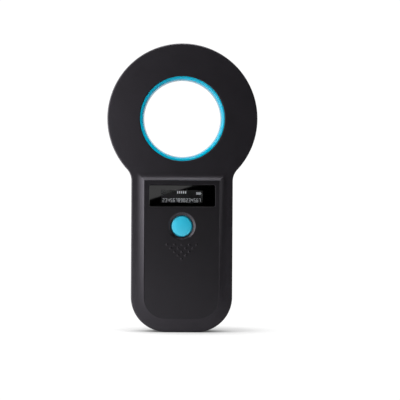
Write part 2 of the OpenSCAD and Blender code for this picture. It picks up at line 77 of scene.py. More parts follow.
# Outline of the body
HEAD_R = SHELL_HIGH.x
HEAD_Z = SHELL_HIGH.z - HEAD_R
BOARD_INSET = 4.0
HALF_W = BOARD_HIGH.x + BOARD_INSET
CORNER_R = 19.0
CORNER_X = HALF_W - CORNER_R
NECK_R = 9.2
NECK_X = HALF_W + NECK_R
NECK_REACH = HEAD_R + NECK_R
NECK_Z = HEAD_Z - math.sqrt(NECK_REACH ** 2 - NECK_X ** 2)
NECK_ANGLE = math.degrees(math.atan2(HEAD_Z - NECK_Z, NECK_X))

# Depths
LINER_RECESS = 0.3
FACE = LINER_HIGH.y + LINER_RECESS
WALL = 2.0
INNER = FACE - WALL
SEAM = 0.02
GROOVE = 0.14
GROOVE_RISE = 0.16
TONGUE_INSET = 1.05
LIP_INSET = 1.0
LIP_DEPTH = 1.4
TONGUE_DEPTH = 1.3
LABEL_DEPTH = 0.1
SWELL = LABEL_HIGH.y + LABEL_DEPTH - FACE
SWELL_Z = 42.0
SWELL_SIDE_R = 90.0
BARREL_R = (HALF_W ** 2 + SWELL ** 2) / (2 * SWELL)
BARREL_Y = FACE + SWELL - BARREL_R
SWELL_LOW, SWELL_HIGH = -40, 110
SWELL_BLEND = 3.0
BLEND_START, BLEND_RUN = -4, 20

# Round opening and ring liner
OPENING_R = 23.0
HUB_R = OPENING_R + 1.8
HUB_END = 1.05
HUB_LIP = 0.45
LINER_R = 20.7
PAD_RING_R = 27.6

# Panel on the front of the handle
BORDER = 7.0
PANEL_TOP = 82.3
PANEL_LEN = PANEL_TOP - BORDER
PANEL_HALF = HALF_W - BORDER
RIM_TOP = -SHELL_LOW.y - FACE
RIM_BOTTOM = 0.7
FLANK_W = 4.6
FLANK_POWER = 2.7
SINK_TOP = 0.4
SINK_BOTTOM = 0.05
PANEL_LOW = FACE + RIM_BOTTOM - SINK_BOTTOM
PANEL_SLOPE = (FACE + RIM_TOP - SINK_TOP - PANEL_LOW) / PANEL_LEN
PANEL_WALL = 2.2

# Screws, as (x, z)
CASE_SCREWS = [(side * x, z) for side in (-1, 1) for x, z in ((17, 14), (22, 84), (25, 141))]
BOARD_SCREWS = [(side * 18, z) for side in (-1, 1) for z in (26, 62)]
SCREW_SEAT = 4.0

# Points along each stretch of an outline
BASE_STEPS = 7
CORNER_STEPS = 32
SIDE_STEPS = 48
NECK_STEPS = 12
HEAD_STEPS = 120
PANEL_CORNER_STEPS = 28
PANEL_TOP_STEPS = 18
RECT_CORNER_STEPS = 8
RECT_EDGE_STEPS = (6, 14)
RING_STEPS = 192
DISH_STEPS = 96
BUTTON_STEPS = 128
DOME_STEPS = 64
SCREW_STEPS = 48
BOSS_STEPS = 28
PAD_STEPS = 24
DOT_STEPS = 20


# ---- outlines
def arc(centre, radius, start, stop, count):
    """Points along an arc between two angles in degrees, without its last point."""
    angles = np.radians(np.linspace(start, stop, count, endpoint=False))
    return np.stack([centre[0] + radius * np.cos(angles), centre[1] + radius * np.sin(angles)], 1)


def line(start, stop, count):
    """Points along a straight line, without its last point."""
    t = np.linspace(0, 1, count, endpoint=False)[:, None]
    return np.array(start) * (1 - t) + np.array(stop) * t


def both_sides(half, top):
    """A closed loop, from its right half (bottom middle first) and its top middle point."""
    left = half[:0:-1] * (-1, 1)
    return np.concatenate([half, [top], left])


def outline(inset):
    """The body seen from the front, drawn in by inset."""
    side = HALF_W - inset
    half = np.concatenate([
        line((0, inset), (CORNER_X, inset), BASE_STEPS),
        arc((CORNER_X, CORNER_R), CORNER_R - inset, -90, 0, CORNER_STEPS),
        line((side, CORNER_R), (side, NECK_Z), SIDE_STEPS),
        arc((NECK_X, NECK_Z), NECK_R + inset, 180, 180 - NECK_ANGLE, NECK_STEPS),
        arc((0, HEAD_Z), HEAD_R - inset, -NECK_ANGLE, 90, HEAD_STEPS),
    ])
    return both_sides(half, (0, HEAD_Z + HEAD_R - inset))


def panel_outline(grow):
    """The panel seen from the front, drawn out by grow, with sharp top corners."""
    side, top = PANEL_HALF + grow, PANEL_TOP + grow
    half = np.concatenate([
        line((0, BORDER - grow), (CORNER_X, BORDER - grow), BASE_STEPS),
        arc((CORNER_X, CORNER_R), CORNER_R - BORDER + grow, -90, 0, PANEL_CORNER_STEPS),
        line((side, CORNER_R), (side, top), SIDE_STEPS),
        line((side, top), (0, top), PANEL_TOP_STEPS),
    ])
    return both_sides(half, (0, top))


def circles(centre, count):
    """A function that gives the circle of any radius about a centre."""
    return lambda radius: arc(centre, radius, 0, 360, count)


def rounded_rect(centre, width, height, radius, grow=0.0):
    """A rectangle with round corners, drawn out by grow."""
    x, z = centre
    w, h = width / 2 - radius, height / 2 - radius
    r = radius + grow
    corners = [(x + w, z - h), (x + w, z + h), (x - w, z + h), (x - w, z - h)]
    bends = [arc(c, r, 90 * i - 90, 90 * i, RECT_CORNER_STEPS) for i, c in enumerate(corners)]
    edges = []
    for i, (cx, cz) in enumerate(corners):
        turn = math.radians(90 * i)
        end = cx + r * math.cos(turn), cz + r * math.sin(turn)
        edges += [bends[i], line(end, bends[(i + 1) % 4][0], RECT_EDGE_STEPS[i % 2])]
    return np.concatenate(edges)


def oblong(x0, z0, x1, z1):
    """The corners of a rectangle."""
    return np.array([(x0, z0), (x1, z0), (x1, z1), (x0, z1)])


# ---- surfaces
def outside_panel(x, z):
    """Distance outside the panel's outline, negative inside it."""
    sides = np.maximum(np.abs(x) - PANEL_HALF, z - PANEL_TOP)
    corner = np.hypot(np.maximum(np.abs(x) - CORNER_X, 0), CORNER_R - z) - (CORNER_R - BORDER)
    return np.where(z < CORNER_R, corner, sides)


def front_y(x, z):
    """The front face around the panel: flat, with a border that rises to the panel's rim."""
    up = np.clip((z - BORDER) / PANEL_LEN, 0, 1)
    away = np.maximum(outside_panel(x, z), 0)
    slope = RIM_BOTTOM * (1 - up) * np.maximum(0, 1 - away / BORDER)
    flank = RIM_TOP * up * np.maximum(0, 1 - away / FLANK_W) ** FLANK_POWER
    return -(FACE + slope + flank)


def panel_y(x, z):
    """The panel's own surface."""
    return -(PANEL_LOW + PANEL_SLOPE * (z - BORDER)) + 0 * x


def barrel_y(x, z, inset):
    """The palm swell: a barrel with its axis along Z."""
    radius = BARREL_R - SWELL_SIDE_R + np.sqrt((SWELL_SIDE_R - inset) ** 2 - (z - SWELL_Z) ** 2)
    return BARREL_Y + np.sqrt(np.maximum(radius ** 2 - x ** 2, 0))


def rear_y(x, z, inset=0.0):
    """The rear face: flat, with the palm swell blended into it."""
    flat, swell = FACE - inset + 0 * x, barrel_y(x, np.clip(z, SWELL_LOW, SWELL_HIGH), inset)
    near = np.maximum(SWELL_BLEND - np.abs(flat - swell), 0) / SWELL_BLEND
    fade = np.clip((z - BLEND_START) / BLEND_RUN, 0, 1)
    return np.maximum(flat, swell) + near ** 2 * SWELL_BLEND / 4 * fade


def behind_panel(depth):
    """A depth function for a surface that far behind the panel."""
    return lambda x, z: panel_y(x, z) + depth


def behind_rear(drop):
    """A depth function for a surface sunk that far into the rear face."""
    return lambda x, z: rear_y(x, z) - drop


def inside_rear(x, z):
    """The inner face of the rear shell."""
    return rear_y(x, z, WALL)


# ---- mesh code
# Free points keep this share of their spacing away from a surface's edges
EDGE_GAP = 0.55
MERGE_TOLERANCE = 1e-6
# Edges over this angle, in degrees, stay sharp
SHARP = 32


def inside(points, polygon):
    """Which of the points lie inside a closed polygon."""
    x, z = points[:, 0:1], points[:, 1:2]
    ax, az = polygon[:, 0], polygon[:, 1]
    bx, bz = np.roll(ax, -1), np.roll(az, -1)
    spans = (az > z) != (bz > z)
    rise = np.where(bz == az, 1.0, bz - az)
    crossing = ax + (z - az) * (bx - ax) / rise
    return (spans & (x < crossing)).sum(1) % 2 == 1


def within(points, rims):
    """Which of the points lie inside the first rim and outside the others."""
    keep = inside(points, rims[0])
    for rim in rims[1:]:
        keep &= ~inside(points, rim)
    return keep


class Skin:
    """Collects the points and faces of one closed mesh, in millimetres."""

    def __init__(self):
        self.points = []
        self.faces = []
        self.slots = []

    def loop(self, xz, y):
        """Adds a closed row of points; y is a depth, or a function of x and z."""
        depth = y(xz[:, 0], xz[:, 1]) if callable(y) else np.full(len(xz), float(y))
        first = len(self.points)
        self.points += [(p[0], d, p[1]) for p, d in zip(xz, depth)]
        return np.arange(first, first + len(xz))

    def stack(self, shape, levels, depth=lambda y: y):
        """A row of shape(a) at depth(b) for each (a, b) of the levels."""
        return [self.loop(shape(a), depth(b)) for a, b in levels]

    def bridge(self, a, b, slot=0):
        """Quads between two rows of equal length."""
        for i in range(len(a)):
            j = (i + 1) % len(a)
            self.cap((a[i], a[j], b[j], b[i]), slot)

    def chain(self, rows, slot=0):
        """Bridges each row to the next and returns the last."""
        for a, b in zip(rows, rows[1:]):
            self.bridge(a, b, slot)
        return rows[-1]

    def cap(self, row, slot=0):
        """Adds one face over a row of points."""
        self.faces.append(tuple(row))
        self.slots.append(slot)

    def solid(self, rows, slot=0):
        """Bridges the rows, and closes both ends."""
        self.chain(rows, slot)
        self.cap(rows[0], slot)
        self.cap(rows[-1], slot)

    def section(self, xy, z):
        """Adds a closed row of points (x, y) at height z."""
        first = len(self.points)
        self.points += [(p[0], p[1], z) for p in xy]
        return np.arange(first, first + len(xy))

    def fill(self, outer, holes, y, spacing, slot=0):
        """Triangles between an outer row and the rows of its holes, over a depth function."""
        rows = [outer] + holes
        flat = np.array(self.points)[:, [0, 2]]
        rims = [flat[row] for row in rows]
        low, high = rims[0].min(0), rims[0].max(0)
        step = spacing * math.sqrt(3) / 2
        grid = [
            (x + (k % 2) * spacing / 2, z)
            for k, z in enumerate(np.arange(low[1] + step / 2, high[1], step))
            for x in np.arange(low[0] + spacing / 4, high[0], spacing)
        ]
        grid = np.array(grid).reshape(-1, 2)
        grid = grid[within(grid, rims)]
        edge = np.concatenate(rims)
        gap = EDGE_GAP * spacing
        far = [np.min(np.sum((edge - p) ** 2, 1)) > gap ** 2 for p in grid]
        grid = grid[np.array(far, dtype=bool)]
        index, points = np.concatenate(rows), edge
        if len(grid):
            index = np.concatenate([index, self.loop(grid, y)])
            points = np.concatenate([edge, grid])
        edges = []
        for row in rows:
            n, first = len(row), len(edges)
            edges += [(first + i, first + (i + 1) % n) for i in range(n)]
        _, _, faces, source, _, _ = delaunay_2d_cdt(
            [Vector(p) for p in points], edges, [], 0, MERGE_TOLERANCE, True)
        faces = [[source[v][0] for v in face] for face in faces]
        middle = points[np.array(faces)].mean(1)
        for face, kept in zip(faces, within(middle, rims)):
            if kept:
                self.cap([index[v] for v in face], slot)

    def build(self, name, materials, sharp=SHARP):
        """Makes the object, shaded smooth apart from edges over an angle in degrees."""
        points = [tuple(c * MM for c in p) for p in self.points]
        mesh = bpy.data.meshes.new(name)
        mesh.from_pydata(points, [], [tuple(map(int, face)) for face in self.faces])
        for m in materials:
            mesh.materials.append(m)
        mesh.polygons.foreach_set("material_index", self.slots)
        work = bmesh.new()
        work.from_mesh(mesh)
        bmesh.ops.recalc_face_normals(work, faces=work.faces)
        work.to_mesh(mesh)
        work.free()
        piece = bpy.data.objects.new(name, mesh)
        bpy.context.scene.collection.objects.link(piece)
        if sharp:
            shade(piece, sharp)
        return piece


def shade(piece, sharp):
    """Smooth shading, with edges over an angle in degrees kept sharp and flat faces kept flat."""
    mesh = piece.data
    work = bmesh.new()
    work.from_mesh(mesh)
    for face in work.faces:
        face.smooth = True
    for edge in work.edges:
        edge.smooth = len(edge.link_faces) == 2 and edge.calc_face_angle(0) < math.radians(sharp)
    work.to_mesh(mesh)
    work.free()
    weighted = piece.modifiers.new("weighted", "WEIGHTED_NORMAL")
    weighted.keep_sharp = True


def quarter(radius, steps, start=0, stop=90):
    """Pairs (cos, sin) times radius along a quarter turn, ends included."""
    angles = np.radians(np.linspace(start, stop, steps + 1))
    return list(zip(radius * np.cos(angles), radius * np.sin(angles)))


def fit_piece(piece, node, body="scanner"):
    """Puts a finished piece on its body, in place of a CAD node."""
    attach(piece, body)
    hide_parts(node)


# ---- materials
DRIFT_PER_M = 90.0
COAT_ROUGHNESS = 0.04


def add_node(nt, kind, **inputs):
    """Adds a shader node and sets its inputs; an underscore stands for a space in a name."""
    node = nt.nodes.new("ShaderNode" + kind)
    for name, value in inputs.items():
        node.inputs[name.replace("_", " ")].default_value = value
    return node


def grain(nt, scale, detail):
    """A noise texture in object space; scale is in cycles per metre."""
    place = add_node(nt, "TexCoord")
    noise = add_node(nt, "TexNoise", Scale=scale, Detail=detail)
    nt.links.new(place.outputs["Object"], noise.inputs["Vector"])
    return noise.outputs["Fac"]


def spread(nt, value, low, high, start=0.3, stop=0.7):
    """Maps a value that runs from start to stop to the range from low to high."""
    scale = add_node(nt, "MapRange", From_Min=start, From_Max=stop, To_Min=low, To_Max=high)
    nt.links.new(value, scale.inputs["Value"])
    return scale.outputs["Result"]


def principled(name, **inputs):
    """A material with one principled shader. Returns the material, its nodes and the shader."""
    m = bpy.data.materials.new(name)
    m.use_nodes = True
    shader = m.node_tree.nodes["Principled BSDF"]
    for key, value in inputs.items():
        shader.inputs[key.replace("_", " ")].default_value = value
    return m, m.node_tree, shader


def finish(name, colour, roughness, metallic=0.0, grain_mm=0.35, bump_mm=0.01, vary=0.12,
           rough_vary=0.06, coat=0.0, specular=0.5, tint=(1, 1, 1), glow=0.0):
    """A moulded or plated finish: fine grain in the surface, and slow drift in its colour."""
    m, nt, shader = principled(
        name, Metallic=metallic, Coat_Weight=coat, Coat_Roughness=COAT_ROUGHNESS,
        Specular_IOR_Level=specular, Specular_Tint=(*tint, 1))
    drift = spread(nt, grain(nt, DRIFT_PER_M, 3.0), 0, 1)
    mix = nt.nodes.new("ShaderNodeMix")
    mix.data_type = "RGBA"
    for end, share in (("A", 1 - vary), ("B", 1 + vary)):
        mix.inputs[end].default_value = (*[c * share for c in colour], 1)
    nt.links.new(drift, mix.inputs["Factor"])
    nt.links.new(mix.outputs["Result"], shader.inputs["Base Color"])
    fine = grain(nt, 1 / MM / grain_mm, 2.0)
    rough = spread(nt, fine, roughness - rough_vary, roughness + rough_vary)
    nt.links.new(rough, shader.inputs["Roughness"])
    if bump_mm:
        bump = add_node(nt, "Bump", Distance=bump_mm * MM, Strength=1.0)
        nt.links.new(fine, bump.inputs["Height"])
        nt.links.new(bump.outputs["Normal"], shader.inputs["Normal"])
    if glow:
        shader.inputs["Emission Color"].default_value = (*colour, 1)
        shader.inputs["Emission Strength"].default_value = glow
    return m


TINT = (1.0, 0.945, 1.06)
SHELL_BLACK = finish("shell_black", (0.0125, 0.0110, 0.0138), 0.46, bump_mm=0.006, tint=TINT)
PANEL_BLACK = finish(
    "panel_black", (0.0050, 0.0045, 0.0054), 0.46, grain_mm=0.22, bump_mm=0.003, tint=TINT)
DISH_BLACK = finish(
    "dish_black", (0.0088, 0.0079, 0.0098), 0.30, grain_mm=0.22, bump_mm=0.002, specular=0.75,
    tint=TINT)
LINER_BLUE = finish("liner_blue", (0.0, 0.55, 0.80), 0.13, bump_mm=0, vary=0.05, rough_vary=0.02)
BUTTON_BLUE = finish(
    "button_blue", (0.032, 0.69, 0.98), 0.37, grain_mm=0.2, bump_mm=0.002, vary=0.05, specular=1.0)
WINDOW_BLACK = finish(
    "window_black", (0.0002, 0.0002, 0.0002), 0.015, bump_mm=0, rough_vary=0.005)
WINDOW_CLEAR, _, _ = principled(
    "window_clear", Base_Color=(0.93, 0.94, 0.95, 1), Roughness=0, IOR=1.22, Transmission_Weight=1)
SCREEN_GREY = finish("screen_grey", (0.012, 0.012, 0.0125), 0.4, bump_mm=0, glow=0.12)
SCREEN_EDGE = finish("screen_edge", (0.004, 0.004, 0.005), 0.1, bump_mm=0)
PIXEL_WHITE = finish("pixel_white", (0.75, 0.77, 0.8), 0.4, bump_mm=0, glow=0.27)
SCREW_STEEL = finish(
    "screw_steel", (0.13, 0.13, 0.14), 0.36, metallic=1, grain_mm=0.12, bump_mm=0.004)
BRIGHT_STEEL = finish(
    "bright_steel", (0.62, 0.62, 0.64), 0.26, metallic=1, grain_mm=0.15, bump_mm=0.003)
LABEL_FILM = finish(
    "label_film", (0.33, 0.34, 0.36), 0.34, metallic=0.35, grain_mm=0.12, bump_mm=0.002)
LABEL_INK = finish("label_ink", (0.05, 0.05, 0.055), 0.5, bump_mm=0)
CHIP_BLACK = finish("chip_black", (0.016, 0.016, 0.017), 0.55, grain_mm=0.15, bump_mm=0.006)
GOLD = finish("gold", (0.8, 0.55, 0.2), 0.25, metallic=1, bump_mm=0.001)
TAPE_BLACK = finish("tape_black", (0.02, 0.02, 0.02), 0.7)
IVORY = finish("ivory_plastic", (0.66, 0.62, 0.52), 0.42, bump_mm=0.004)
COPPER = finish("copper_wire", (0.6, 0.22, 0.09), 0.28, metallic=1, bump_mm=0.004)
AMBER_TAPE = finish("amber_tape", (0.55, 0.24, 0.03), 0.3, coat=0.3, bump_mm=0.003)
RED_WIRE = finish("red_wire", (0.45, 0.02, 0.02), 0.4, bump_mm=0.002)
BOARD_GREEN = finish("board_green", (0.01, 0.1, 0.03), 0.32, coat=0.4, bump_mm=0.002)
CARRIER_GREY = finish("carrier_grey", (0.06, 0.06, 0.065), 0.5, bump_mm=0.006)
FLEX_AMBER = finish("flex_amber", (0.42, 0.16, 0.02), 0.3, bump_mm=0.002)
CELL_FOIL = finish("cell_foil", (0.55, 0.57, 0.6), 0.3, metallic=0.8, grain_mm=0.6, bump_mm=0.01)
FOAM_WHITE = finish("foam_white", (0.72, 0.7, 0.64), 0.85, grain_mm=0.4, bump_mm=0.03)
BOARD_BLUE = finish("board_blue", (0.01, 0.035, 0.16), 0.34, coat=0.3, bump_mm=0.002)
FERRITE = finish("ferrite_grey", (0.06, 0.06, 0.062), 0.6, bump_mm=0.01)
CERAMIC = finish("ceramic_tan", (0.4, 0.25, 0.13), 0.45, bump_mm=0.004)


# ---- housing
EDGE_R = 0.8
REAR_EDGE_R = 2.2
CEILING_INSET = WALL + 0.2
CEILING_EASE = 0.2
# Spacing of the points over each face
FRONT_SPACING = 2.2
REAR_SPACING = 1.5
FRONT_INNER_SPACING = 4.0
REAR_INNER_SPACING = 2.5


def panel_rows(skin):
    """The rim of the panel, from the flank's outer edge in to the panel's flat surface."""
    flank = [FLANK_W, 4.1, 3.6, 3.1, 2.6, 2.2, 1.8, 1.45, 1.15, 0.85, 0.6, 0.4, 0.24, 0.12, 0.04]
    rows = [skin.loop(panel_outline(s), front_y) for s in flank]
    # Distance out of the panel's outline, and share of the way up to the rim
    crest = [(-0.03, 0.995), (-0.08, 1.0), (-0.14, 0.99), (-0.18, 0.85)]
    step = [(-0.2, 0.5), (-0.22, 0.1), (-0.26, 0.0), (-0.5, 0.0)]
    for s, share in crest + step:
        def y(x, z, share=share):
            up = (np.maximum(z, BORDER) - BORDER) / PANEL_LEN
            rim = -(FACE + RIM_BOTTOM + (RIM_TOP - RIM_BOTTOM) * up)
            return panel_y(x, z) + (rim - panel_y(x, z)) * share
        rows.append(skin.loop(panel_outline(s), y))
    edge = len(flank) + len(crest)
    skin.chain(rows[:edge])
    skin.chain(rows[edge - 1:], slot=1)
    return rows[0], rows[-1]


def hub(skin, sign):
    """The wall around the round opening; sign is -1 in front. Returns its outer and inner rows."""
    lip = [(OPENING_R + HUB_LIP - c, FACE - HUB_LIP + s) for c, s in quarter(HUB_LIP, 5, 90, 0)]
    profile = lip + [(OPENING_R, HUB_END), (HUB_R, HUB_END), (HUB_R, INNER)]
    rows = skin.stack(circles((0, HEAD_Z), RING_STEPS), profile, lambda y: sign * y)
    skin.chain(rows)
    return rows[0], rows[-1]


# Screw bosses: radius, radius of the pilot hole, and where the hole ends
CASE_BOSS = (2.75, 1.1, -6.5)
BOARD_BOSS = (2.0, 1.0, -7.2)
PILOT_LEAD = 0.25


def boss(skin, spot, size, end):
    """A screw boss inside the front, with a blind pilot hole. Returns its foot."""
    radius, pilot, depth = size
    profile = [(radius, -INNER), (radius, end), (pilot + PILOT_LEAD, end)]
    profile += [(pilot, end - PILOT_LEAD), (pilot, depth)]
    rows = skin.stack(circles(spot, BOSS_STEPS), profile)
    skin.chain(rows)
    skin.cap(rows[-1])
    return rows[0]


PAD_R = 1.6
PAD_SPOTS = circles((0, HEAD_Z), 6)(PAD_RING_R)


def pad(skin, spot, sign):
    """A round pad that holds the coil; sign is -1 in front. Returns its foot."""
    levels = [(PAD_R, sign * y) for y in (INNER, BOBBIN_HALF)]
    rows = skin.stack(circles(spot, PAD_STEPS), levels)
    skin.chain(rows)
    skin.cap(rows[-1])
    return rows[0]


WINDOW_CORNER = 1.0
WINDOW_GAP = 0.12
WINDOW_SEAT = 1.36
LEDGE_W, LEDGE_H, LEDGE_CORNER = 25.0, 8.6, 0.6


def window_rect(grow):
    """The window's outline, drawn out by grow."""
    width, height = WINDOW_HIGH.x - WINDOW_LOW.x, WINDOW_HIGH.z - WINDOW_LOW.z
    return rounded_rect((0, WINDOW_Z), width, height, WINDOW_CORNER, grow)


def window_pocket(skin):
    """The stepped opening that holds the display window. Returns its outer and inner rows."""
    lip = [(0.42, 0.0), (0.3, 0.012), (0.22, 0.05), (0.15, 0.13), (WINDOW_GAP, 0.25)]
    rows = skin.stack(window_rect, lip + [(WINDOW_GAP, WINDOW_SEAT)], behind_panel)
    ledge = rounded_rect((0, WINDOW_Z), LEDGE_W, LEDGE_H, LEDGE_CORNER)
    rows += [skin.loop(ledge, behind_panel(depth)) for depth in (WINDOW_SEAT, PANEL_WALL)]
    skin.chain(rows)
    return rows[0], rows[-1]


DISH_R = 7.45
DISH_RIM_R = DISH_R + 0.12
DISH_OUTER_R = DISH_R + 0.3
DISH_FLOOR_R = 6.15
DISH_DEPTH = 0.75
DISH_SWAY = 0.09
DISH_RINGS = 12
HOLE_R = 5.95
HOLE_EDGE = [(HOLE_R + 0.06, 0.02), (HOLE_R, 0.1)]


def button_dish(skin):
    """The dished recess and the hole for the button. Returns its outer and inner rows."""
    ring = circles((0, BUTTON_Z), DISH_STEPS)
    face = float(panel_y(0.0, BUTTON_Z))
    rows = [skin.loop(ring(DISH_OUTER_R), panel_y)]
    for i in range(DISH_RINGS + 1):
        t = i / DISH_RINGS
        drop = DISH_DEPTH * (t - DISH_SWAY * math.sin(2 * math.pi * t))

        def y(x, z, drop=drop, blend=1 - t):
            return (panel_y(x, z) * blend + face * (1 - blend)) + drop
        rows.append(skin.loop(ring(DISH_RIM_R - (DISH_RIM_R - DISH_FLOOR_R) * t), y))
    skin.chain(rows, slot=2)
    hole = skin.stack(ring, HOLE_EDGE, lambda drop: face + DISH_DEPTH + drop)
    hole.append(skin.loop(ring(HOLE_R), behind_panel(PANEL_WALL)))
    skin.chain([rows[-1]] + hole)
    return rows[0], hole[-1]


DOT_R = 0.66
DOT_H = 0.36
DOT_FLARE = 0.14
DOT_PROFILE = [(1.02, 0.06), (0.96, 0.3), (0.84, 0.58), (0.64, 0.82), (0.38, 0.96), (0.14, 1.0)]


def dot(skin, spot):
    """A raised dot on the panel. Returns its foot."""
    profile = [(DOT_R + DOT_FLARE, 0.0)]
    profile += [(DOT_R * share, -DOT_H * up) for share, up in DOT_PROFILE]
    rows = skin.stack(circles(spot, DOT_STEPS), profile, behind_panel)
    skin.chain(rows, slot=1)
    skin.cap(rows[-1], slot=1)
    return rows[0]


def dot_spots():
    """Where the dots stand: an inverted triangle, whose rows are staggered."""
    rows, pitch, drop, top = 5, 4.0, 1.95, 47.4
    return [
        ((i - (rows - 1 - row) / 2) * pitch, top - row * drop)
        for row in range(rows) for i in range(rows - row)
    ]


POCKET_Z = 49.75
POCKET_W, POCKET_H, POCKET_CORNER = 31.4, 61.5, 1.0
POCKET_FLARE = 0.15


def panel_pocket(skin):
    """The pocket behind the panel. Returns its deep row and its shallow one."""
    size = (0, POCKET_Z), POCKET_W, POCKET_H, POCKET_CORNER
    deep = skin.loop(rounded_rect(*size), behind_panel(PANEL_WALL))
    shallow = skin.loop(rounded_rect(*size, POCKET_FLARE), -INNER)
    skin.bridge(deep, shallow)
    return deep, shallow


def make_front_shell():
    """The front half of the housing, with its panel, dish, dots and bosses."""
    skin = Skin()
    rows = skin.stack(outline, [
        (CEILING_INSET, -INNER), (WALL, -INNER + CEILING_EASE), (WALL, -LIP_DEPTH),
        (LIP_INSET, -LIP_DEPTH), (LIP_INSET, -SEAM), (GROOVE, -SEAM),
        (0.0, -SEAM - GROOVE_RISE), (0.0, -FACE / 2),
    ])
    for c, s in quarter(EDGE_R, 6):
        rows.append(skin.loop(outline(EDGE_R - c), lambda x, z, s=s: front_y(x, z) + EDGE_R - s))
    ceiling, edge = rows[0], skin.chain(rows)
    flank, panel = panel_rows(skin)
    hub_out, hub_in = hub(skin, -1)
    skin.fill(edge, [flank, hub_out], front_y, FRONT_SPACING)
    window_out, window_in = window_pocket(skin)
    dish_out, dish_in = button_dish(skin)
    dots = [dot(skin, spot) for spot in dot_spots()]
    skin.fill(panel, [window_out, dish_out] + dots, panel_y, FRONT_SPACING, slot=1)
    pocket_in, pocket_out = panel_pocket(skin)
    skin.fill(pocket_in, [window_in, dish_in], behind_panel(PANEL_WALL), FRONT_INNER_SPACING)
    feet = [boss(skin, spot, CASE_BOSS, -SEAM) for spot in CASE_SCREWS]
    feet += [boss(skin, spot, BOARD_BOSS, BOARD_LOW.y) for spot in BOARD_SCREWS]
    feet += [pad(skin, spot, -1) for spot in PAD_SPOTS]
    skin.fill(ceiling, [hub_in, pocket_out] + feet, -INNER, FRONT_INNER_SPACING)
    piece = skin.build("front_shell_skin", [SHELL_BLACK, PANEL_BLACK, DISH_BLACK], sharp=0)
    cut_port(piece)
    shade(piece, SHARP)
    fit_piece(piece, "front_shell")


PORT_MARGIN = 0.35
PORT_CORNER = 1.3
PORT_LEVELS = [(-1.0, 0.6), (-0.02, 0.3), (0.25, 0.0), (WALL + 1.0, 0.0)]


def cut_port(piece):
    """Cuts the charging port through the bottom wall, with a flared mouth."""
    width = SOCKET_HIGH.x - SOCKET_LOW.x + 2 * PORT_MARGIN
    height = SOCKET_HIGH.y - SOCKET_LOW.y + 2 * PORT_MARGIN
    cutter = Skin()
    cutter.solid([
        cutter.section(rounded_rect((0, SOCKET_Y), width, height, PORT_CORNER, grow), z)
        for z, grow in PORT_LEVELS
    ])
    tool = cutter.build("port_cutter", [SHELL_BLACK], sharp=0)
    cut = piece.modifiers.new("port", "BOOLEAN")
    cut.object = tool
    cut.solver = "EXACT"
    bpy.context.view_layer.update()
    evaluated = piece.evaluated_get(bpy.context.evaluated_depsgraph_get())
    result = bpy.data.meshes.new_from_object(evaluated)
    piece.modifiers.clear()
    piece.data = result
    bpy.data.objects.remove(tool)


BORE_R = 2.5
CLEARANCE_R = 1.25
SLEEVE_R = 2.9


def counterbore(skin, spot):
    """A screw hole in the rear shell, with its sleeve. Returns its outer and inner rows."""
    ring = circles(spot, SCREW_STEPS)
    mouth = [(BORE_R + 0.35, 0.0), (BORE_R + 0.2, 0.04), (BORE_R + 0.08, 0.14), (BORE_R, 0.34)]
    inner = [(BORE_R, SCREW_SEAT), (CLEARANCE_R, SCREW_SEAT), (CLEARANCE_R, SEAM), (SLEEVE_R, SEAM)]
    rows = skin.stack(ring, mouth, behind_rear)
    rows += skin.stack(ring, inner + [(SLEEVE_R, inside_rear)])
    skin.chain(rows)
    return rows[0], rows[-1]


LABEL_W, LABEL_H, LABEL_CORNER = 28.0, 20.0, 1.5
LABEL_SINK = 0.25
LABEL_SPACING = 1.2
LABEL_BED_SPACING = 2.0


def label_rect(grow):
    """The label's outline, drawn out by grow."""
    return rounded_rect((0, SWELL_Z), LABEL_W, LABEL_H, LABEL_CORNER, grow)


def make_rear_shell():
    """The rear half of the housing, with its palm swell, screw holes and label bed."""
    skin = Skin()
    edge = [(REAR_EDGE_R - c, REAR_EDGE_R - s) for c, s in quarter(REAR_EDGE_R, 10, 90, 0)]
    rows = skin.stack(outline, edge, behind_rear) + skin.stack(outline, [
        (0.0, FACE / 2), (0.0, SEAM + GROOVE_RISE), (GROOVE, SEAM), (TONGUE_INSET, SEAM),
        (TONGUE_INSET, -TONGUE_DEPTH), (WALL, -TONGUE_DEPTH), (WALL, INNER - CEILING_EASE),
        (CEILING_INSET, inside_rear),
    ])
    skin.chain(rows)
    hub_out, hub_in = hub(skin, 1)
    holes = [counterbore(skin, spot) for spot in CASE_SCREWS]
    bed = [(0.3, 0.0), (0.18, 0.03), (0.1, 0.1), (0.1, LABEL_SINK)]
    recess = skin.stack(label_rect, bed, behind_rear)
    skin.chain(recess)
    skin.fill(recess[-1], [], behind_rear(LABEL_SINK), LABEL_BED_SPACING)
    skin.fill(rows[0], [hub_out, recess[0]] + [h[0] for h in holes], rear_y, REAR_SPACING)
    feet = [h[1] for h in holes] + [pad(skin, spot, 1) for spot in PAD_SPOTS]
    skin.fill(rows[-1], [hub_in] + feet, inside_rear, REAR_INNER_SPACING)
    piece = skin.build("rear_shell_skin", [SHELL_BLACK])
    fit_piece(piece, "rear_shell")


LINER_OUTER_R = OPENING_R - 0.1
LINER_FLANGE_R = HUB_R - 0.3
LINER_FLANGE_HALF = 1.0
LINER_LEAN = 8


